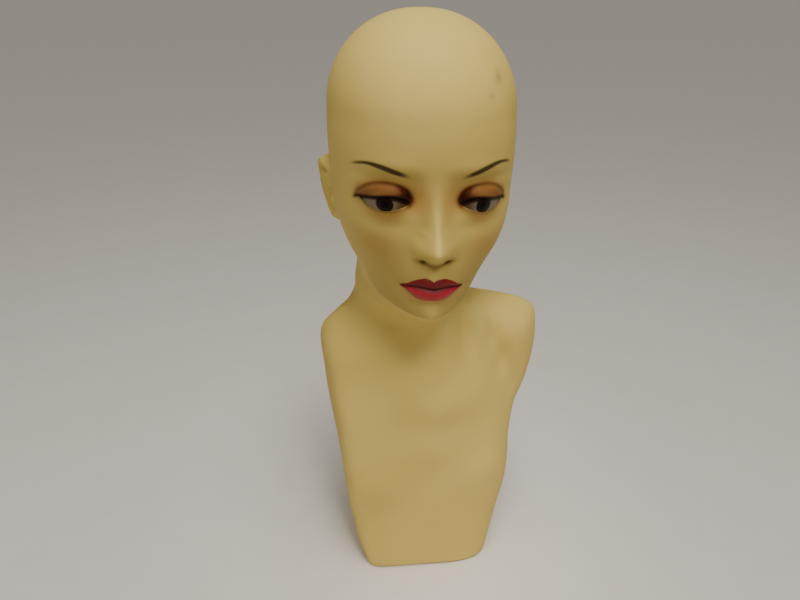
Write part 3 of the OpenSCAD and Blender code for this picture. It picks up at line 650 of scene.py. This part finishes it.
def skin_points(rings, angles, raised=True):
    """Points on each ring at each angle around it, as [ring][angle]; raised=False takes only the hollows."""
    s, c = np.sin(np.radians(angles))[None, :], np.cos(np.radians(angles))[None, :]
    r = [rings[:, k, None] for k in range(12)]
    n = np.where(c < 0, r[10], np.where(s < 0, r[9], r[8]))
    reach = (np.abs(s) ** n + np.abs(c) ** n) ** (-1 / n)
    x = np.where(s < 0, r[5], r[4]) * reach * s
    f = np.where(c < 0, r[7], r[6]) * reach * c
    z = r[2] - f * np.tan(np.radians(r[3]))
    on_head = (np.abs(r[11]) < 0.02) & (r[2] > SHOULDER_Z)
    front = smooth_step(0, 0.5, c)
    fx, fz = upright(x, z - HEAD_Z)
    face = face_rise(fx, fz) - PATCH_SINK * under_patch(fx, fz) - LIP_SINK * under_lips(fx, fz)
    chest = forms_at(CHEST_FORMS, x, z)
    rise = front * np.where(on_head, face, chest)
    ear = on_head * (np.abs(c) < 0.45) * ear_rise(f - r[1] - HEAD_FORWARD + EAR_BACK, z - HEAD_Z - EAR_Z)
    ear = ear * np.where(s > 0, LEFT_EAR, 1)
    if not raised:
        rise, ear = np.minimum(rise, 0), 0
    out = x + np.sign(x) * ear
    turn = np.radians(SHOULDER_TURN * r[11])
    y = -f - rise
    px = r[0] + out * np.cos(turn) - y * np.sin(turn)
    py = r[1] + out * np.sin(turn) + y * np.cos(turn)
    return np.stack([px, py, z + 0 * out], -1)


def front_of(ring, x):
    """How far a ring's front lies before its middle, x to the side."""
    half = np.where(x < 0, ring[..., 5], ring[..., 4])
    square = np.where(x < 0, ring[..., 9], ring[..., 8])
    return ring[..., 6] * np.maximum(1 - (np.abs(x) / half) ** square, 1e-9) ** (1 / square)


def on_face(x, z, rise=0.0):
    """Points of the face at places in its own measures, lifted off it by rise, in millimetres."""
    x, z = np.asarray(x, float), np.asarray(z, float)
    hx, hz = leaning(x, z)
    # Halves the stretch of rings that holds each place until it is closer than a hair.
    low, high = np.full(hx.shape, FACE_FROM + 1.5), np.full(hx.shape, SPANS + 0.9)
    for _ in range(18):
        middle = (low + high) / 2
        ring = rings_at(middle)
        under = ring[..., 2] - front_of(ring, hx) * np.tan(np.radians(ring[..., 3])) < HEAD_Z + hz
        low, high = np.where(under, middle, low), np.where(under, high, middle)
    ring = rings_at(low)
    forward = front_of(ring, hx) + face_rise(x, z) + rise
    return np.stack([ring[..., 0] + hx, ring[..., 1] - forward, HEAD_Z + hz], -1)


# ---- Pieces ----
def unit(v):
    """Vectors brought to a length of one."""
    return v / np.maximum(np.linalg.norm(v, axis=-1, keepdims=True), 1e-12)


def in_object_mode():
    if bpy.context.object and bpy.context.object.mode != "OBJECT":
        bpy.ops.object.mode_set(mode="OBJECT")
    bpy.ops.object.select_all(action="DESELECT")


def finish_piece(piece, name, material, slot, *nodes):
    """Names a piece, smooths it, gives it its material and ties it to the bust."""
    piece.name = name
    piece.data.name = name
    piece.data.materials.clear()
    piece.data.materials.append(material)
    in_object_mode()
    piece.select_set(True)
    bpy.context.view_layer.objects.active = piece
    bpy.ops.object.shade_smooth()
    piece.select_set(False)
    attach(piece, "root")
    if nodes:
        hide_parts(*nodes)
    return piece


def crisp_edges(piece):
    """Keeps a sheet's rim from rounding the light on its face."""
    piece.select_set(True)
    bpy.context.view_layer.objects.active = piece
    bpy.ops.object.shade_smooth_by_angle(angle=math.radians(50))
    piece.select_set(False)


def keep_marks(piece, marks):
    """Keeps numbers on a piece's vertices, under the names that its material reads."""
    for name, values in marks.items():
        layer = piece.data.attributes.new(name, "FLOAT", "POINT")
        layer.data.foreach_set("value", np.ascontiguousarray(values, dtype=np.float32))


def shaped_sphere(rows, first_pole, last_pole):
    """A sphere whose rings are moved to rows of points, from its top down, and whose poles close it."""
    count, around = rows.shape[:2]
    in_object_mode()
    bpy.ops.mesh.primitive_uv_sphere_add(segments=around, ring_count=count + 1, radius=1)
    ball = bpy.context.object
    at = np.empty(len(ball.data.vertices) * 3)
    ball.data.vertices.foreach_get("co", at)
    at = at.reshape(-1, 3)
    ring = np.rint(np.arccos(np.clip(at[:, 2], -1, 1)) / math.pi * (count + 1)).astype(int)
    column = np.rint((np.arctan2(at[:, 1], at[:, 0]) / (2 * math.pi) + 0.25) * around).astype(int) % around
    places = rows[np.clip(ring - 1, 0, count - 1), column]
    places[ring == 0] = first_pole
    places[ring == count + 1] = last_pole
    ball.data.vertices.foreach_set("co", (places * MM).ravel())
    ball.data.update()
    return ball


def shaped_sheet(rows, thick, **marks):
    """A grid whose vertices are moved to rows of points, with numbers kept on it for its material and a
    thickness in millimetres behind it. Rows run down and columns run to the bust's left."""
    count, across = rows.shape[:2]
    in_object_mode()
    bpy.ops.mesh.primitive_grid_add(x_subdivisions=across - 1, y_subdivisions=count - 1, size=2)
    sheet = bpy.context.object
    at = np.empty(len(sheet.data.vertices) * 3)
    sheet.data.vertices.foreach_get("co", at)
    at = at.reshape(-1, 3)
    column = np.rint((at[:, 0] + 1) / 2 * (across - 1)).astype(int)
    row = np.rint((1 - at[:, 1]) / 2 * (count - 1)).astype(int)
    sheet.data.vertices.foreach_set("co", (rows[row, column] * MM).ravel())
    keep_marks(sheet, {name: values[row, column] for name, values in marks.items()})
    sheet.data.update()
    wall = sheet.modifiers.new("thickness", "SOLIDIFY")
    wall.thickness = thick * MM
    wall.offset = -1
    bpy.ops.object.modifier_apply(modifier="thickness")
    return sheet


# The skin: one shell, closer rows and columns over the face and ears than over the plain parts.
ROWS_IN_SPAN = [6] * 9 + [4] * 6 + [5, 14, 14, 10, 20, 22, 26, 20, 20, 22, 10]
CROWN_ROWS = 36
EDGE_ROUND = 1.2                # rounding of the shell's lower edge
FOOT_HIGH = 8                   # how far the wall's inside climbs straight up from that edge
FACE_FRONT = (60, 80)           # the face's paint fades in between these distances before the base's middle


def skin_angles():
    """Angles around a ring, from the middle of its front round by the bust's left, which lie closer over
    the face and the ears."""
    half_turn = np.concatenate([
        np.linspace(0, 54, 61)[1:], np.linspace(54, 77, 15)[1:], np.linspace(77, 103, 41)[1:],
        np.linspace(103, 180, 24)[1:],
    ])
    angles = np.concatenate([half_turn, 360 - half_turn[-2::-1], [360]]) % 360
    return np.roll(angles, 1)


def inward(points, depth):
    """Points moved into the bust, square to its skin."""
    along = np.roll(points, -1, 1) - np.roll(points, 1, 1)
    up = np.gradient(points, axis=0)
    return points - depth * unit(np.cross(along, up))


def build_skin(enamel):
    levels = np.concatenate(
        [i + np.arange(n) / n for i, n in enumerate(ROWS_IN_SPAN)]
        + [SPANS + np.arange(CROWN_ROWS) / CROWN_ROWS]
    )
    angles = skin_angles()
    outer = skin_points(rings_at(levels), angles)[::-1]
    crown = skin_points(rings_at([SPANS + 1.0]), angles)[0].mean(axis=0)
    smooth = skin_points(rings_at(levels), angles, raised=False)
    edge = outer[-1]
    level_in = unit((inward(smooth[:3], 1) - smooth[:3])[0] * [1, 1, 0])
    edge_rows = [
        edge + EDGE_ROUND * (1 - math.cos(a)) * level_in + [0, 0, EDGE_ROUND * (1 - math.sin(a))]
        for a in np.radians([0, 30, 60, 90])
    ]
    foot_rows = [edge + WALL * level_in, edge + WALL * level_in + [0, 0, FOOT_HIGH]]
    # The inside is plain, so it takes every sixth row of the torso, every second of the neck and every
    # seventh of the head.
    inner = inward(smooth, WALL)[np.r_[12:54:6, 54:84:2, 84:len(levels):7]]
    rows = np.concatenate([outer[:-1], edge_rows, foot_rows, inner])
    skin = shaped_sphere(rows, crown, crown - [0, 0, WALL])
    at = np.array([v.co for v in skin.data.vertices]) / MM
    marks = paint_marks(*upright(at[:, 0] - HEAD_X, at[:, 2] - HEAD_Z))
    facing = smooth_step(*FACE_FRONT, -at[:, 1]) * (at[:, 2] > HEAD_Z - CHIN_DROP)
    keep_marks(skin, {name: values * facing for name, values in marks.items()})
    finish_piece(skin, "bust_skin", enamel, "painted_laminate", "front_shell", "rear_shell")


# The lids: a fine sheet of the same skin, a paint film's thickness over the shell. In the opening between
# the lids it sinks out of sight behind the eyeball.
EYE_LIFT = 0.07
OPENING_SINK = 3


def across_face(side, inner, outer, count):
    """Places from the nose outward, in the order in which a sheet's columns run."""
    return side * np.linspace(inner, outer, count)[::side]


def build_lids(side, name, enamel):
    x, z = np.meshgrid(
        across_face(side, PATCH_IN, PATCH_OUT, 136), np.linspace(PATCH_TOP, PATCH_FOOT, 124)
    )
    lids = shaped_sheet(on_face(x, z, EYE_LIFT - OPENING_SINK * in_opening(x, z)), 0.6, **paint_marks(x, z))
    finish_piece(lids, "eyelid_" + name, enamel, "painted_laminate")
    crisp_edges(lids)


# The eyeball: a painted sheet behind the lids' opening, fuller over the iris and sunk under the upper lid.
def build_eyeball(side, name, lacquer):
    x, z = np.meshgrid(across_face(side, EYE_IN - 2, EYE_OUT + 1.5, 90), np.linspace(16, 0, 44))
    far = np.hypot(np.abs(x) - IRIS[0], z - IRIS[1])
    from_lid = from_curve(LID_EDGE, np.abs(x), z)
    middle = 1 - smooth_step(30, 44, np.abs(x))
    ball = on_face(x, z, 0.5 * bell(far, 6) - LID_STEP - 0.7 * smooth_step(-0.5, 1, from_lid))
    eyeball = shaped_sheet(
        ball, 0.8, from_pupil=far,
        # shade is the painted shadow of the upper lid and lashes; corner is painted shade toward the eye's
        # corners
        shade=0.95 * smooth_step(mix(-3.2, -4.4, middle), mix(-1, -2.2, middle), from_lid),
        corner=1 - smooth_step(22, 31, np.abs(x)) + 0.7 * smooth_step(EYE_OUT - 6, EYE_OUT, np.abs(x)),
    )
    finish_piece(eyeball, "eyeball_" + name, lacquer, "painted_laminate")


# The lips: a thin sheet over the moulded mouth, with closer columns towards its corners.
def build_lips():
    share = np.linspace(-1, 1, 121)
    x = LIP_HALF * np.sign(share) * (1 - (1 - np.abs(share)) ** 1.3) * 0.995
    side = np.abs(x)
    top, line, foot = (curve_at(c, side) for c in (LIP_TOP, LIP_LINE, LIP_FOOT))
    # 0 at the top of the upper lip, 1 on the line between the lips, 2 at the foot of the lower lip.
    down = np.concatenate([np.linspace(0, 1, 19)[:-1], np.linspace(1, 2, 23)])[:, None]
    z = np.where(down < 1, mix(top, line, down), mix(line, foot, down - 1))
    x = x[None, :] + 0 * z
    from_rim = np.minimum(down, 2 - down) + 0 * x
    lips = shaped_sheet(
        on_face(x, z, 0.02 + 0.1 * smooth_step(0, 0.12, from_rim)), 0.8,
        # parting and upper are painted shade in the lips' parting and over the down-facing upper lip; rim is
        # the lips' painted outline
        parting=bell(z - line, mix(1.1, 2, np.cos(np.pi / 2 * x / LIP_HALF))),
        rim=0.8 * (1 - smooth_step(0, 0.18, from_rim)),
        upper=0.8 * (1 - smooth_step(0.8, 1.1, down)) + 0 * x,
    )
    finish_piece(lips, "lips", lip_enamel(), "painted_laminate")


# Eyelashes: tapered hairs that spring forward from the upper lids' edges and curl up.
LASH_COUNT = 64
HAIR_R = 0.11


def hair_rows(root, long, fan):
    """Rings of points along a hair from its root, with its two ends: fan turns it outward."""
    t = np.linspace(0, 1, 7)[:, None]
    way = root + long * (t * [0.55 * fan, -0.9, -0.35] + t**2 * [0.15 * fan, 0.1, 0.75])
    around = np.radians(np.arange(5) * 72)[None, :, None]
    thick = (HAIR_R * (1 - 0.8 * t))[:, :, None]
    ring = thick * (np.cos(around) * [1, 0, 0] + np.sin(around) * [0, 0, 1])
    return (way[:, None, :] + ring)[1:-1], way[0], way[-1]


def build_lashes(side, name, nylon):
    hairs = []
    chance = np.random.default_rng(7)
    for k in range(LASH_COUNT):
        p = (k + 0.5) / LASH_COUNT
        x = mix(EYE_IN + 3, EYE_OUT - 0.3, p)
        root = on_face(side * x, curve_at(LID_EDGE, x) + 0.3, -0.5)
        long = mix(2.6, 5.2, math.sin(math.pi * (0.15 + 0.7 * p))) * chance.uniform(0.8, 1.1)
        fan = side * (mix(-0.35, 1.1, p) + chance.uniform(-0.12, 0.12))
        hairs.append(shaped_sphere(*hair_rows(root, long, fan)))
    in_object_mode()
    for hair in hairs:
        hair.select_set(True)
    bpy.context.view_layer.objects.active = hairs[0]
    bpy.ops.object.join()
    finish_piece(hairs[0], "lashes_" + name, nylon, "lash_fibre", "eyelashes_" + name)


skin_enamel = painted_laminate()
build_skin(skin_enamel)
eye_lacquer = eye_enamel()
lash_nylon = lash_fibre()
for side, name in ((1, "left"), (-1, "right")):
    build_lids(side, name, skin_enamel)
    build_eyeball(side, name, eye_lacquer)
build_lips()
for side, name in ((1, "left"), (-1, "right")):
    build_lashes(side, name, lash_nylon)

# The CAD model's own pieces inside and under the shell.
steel = metal("zinc_plated_steel", "#c9ccd0", "#a7abb0", 0.35)
tape = glass_tape()
FRAME_FINISH = {
    "seam_tape_left": tape, "seam_tape_right": tape, "crown_patch": tape,
    "base_board": wooden("birch_plywood", "#d8bb86", "#b99661"),
    "corner_blocks": wooden("sawn_spruce", "#e0c493", "#c49c62"),
    "base_screws": steel, "ballast_bolts": steel, "ballast_washers": steel, "ballast_nuts": steel,
    "ballast_plate": metal("mill_rolled_steel", "#6c6a68", "#47403a", 0.55),
    "base_felt": felt(),
}
for name, material in FRAME_FINISH.items():
    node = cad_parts[name]
    node.data.materials.clear()
    node.data.materials.append(material)

# ---- Stage ----
in_object_mode()
bpy.ops.mesh.primitive_circle_add(vertices=96, radius=40, fill_type="NGON", location=(0, 0, -0.0005))
floor = bpy.context.object
floor.name = "floor"
floor.data.materials.append(floor_paint())

WARM_WHITE = (1, 0.975, 0.93)


def soft_light(name, place, aim, size, power, spread=180):
    """A round lamp at a place, turned to its aim; spread narrows its beam, in degrees."""
    lamp = bpy.data.lights.new(name, "AREA")
    lamp.shape = "DISK"
    lamp.size = size
    lamp.energy = power
    lamp.spread = math.radians(spread)
    lamp.color = WARM_WHITE
    holder = bpy.data.objects.new(name, lamp)
    holder.location = place
    holder.rotation_euler = (Vector(aim) - Vector(place)).to_track_quat("-Z", "Y").to_euler()
    bpy.context.scene.collection.objects.link(holder)


soft_light("ceiling_light", (0.06, -0.36, 1.4), (0, -0.06, 0.33), 0.5, 9.5)
soft_light("chest_light", (0.1, -0.7, 0.85), (0.02, -0.03, 0.09), 0.3, 0.115, 25)
soft_light("wall_glow", (-0.75, -0.2, 0.6), (0, -0.03, 0.32), 0.7, 0.5)
sky = bpy.data.lights.new("room_light", "SUN")
sky.energy = 1.1
sky.color = WARM_WHITE
sky.angle = math.radians(85)
sky_holder = bpy.data.objects.new("room_light", sky)
sky_holder.rotation_euler = (math.radians(22), math.radians(2), 0)
bpy.context.scene.collection.objects.link(sky_holder)
world = bpy.data.worlds.new("soft_room")
world.use_nodes = True
world.node_tree.nodes["Background"].inputs[0].default_value = (*WARM_WHITE, 1)
world.node_tree.nodes["Background"].inputs[1].default_value = 0.05
bpy.context.scene.world = world

eye = bpy.data.cameras.new("camera")
eye.lens = 31.5
camera = bpy.data.objects.new("camera", eye)
camera.location = (-0.0692, -0.5644, 0.5247)
camera.rotation_euler = (math.radians(65.194), 0, math.radians(-5.242))
bpy.context.scene.collection.objects.link(camera)
bpy.context.scene.camera = camera
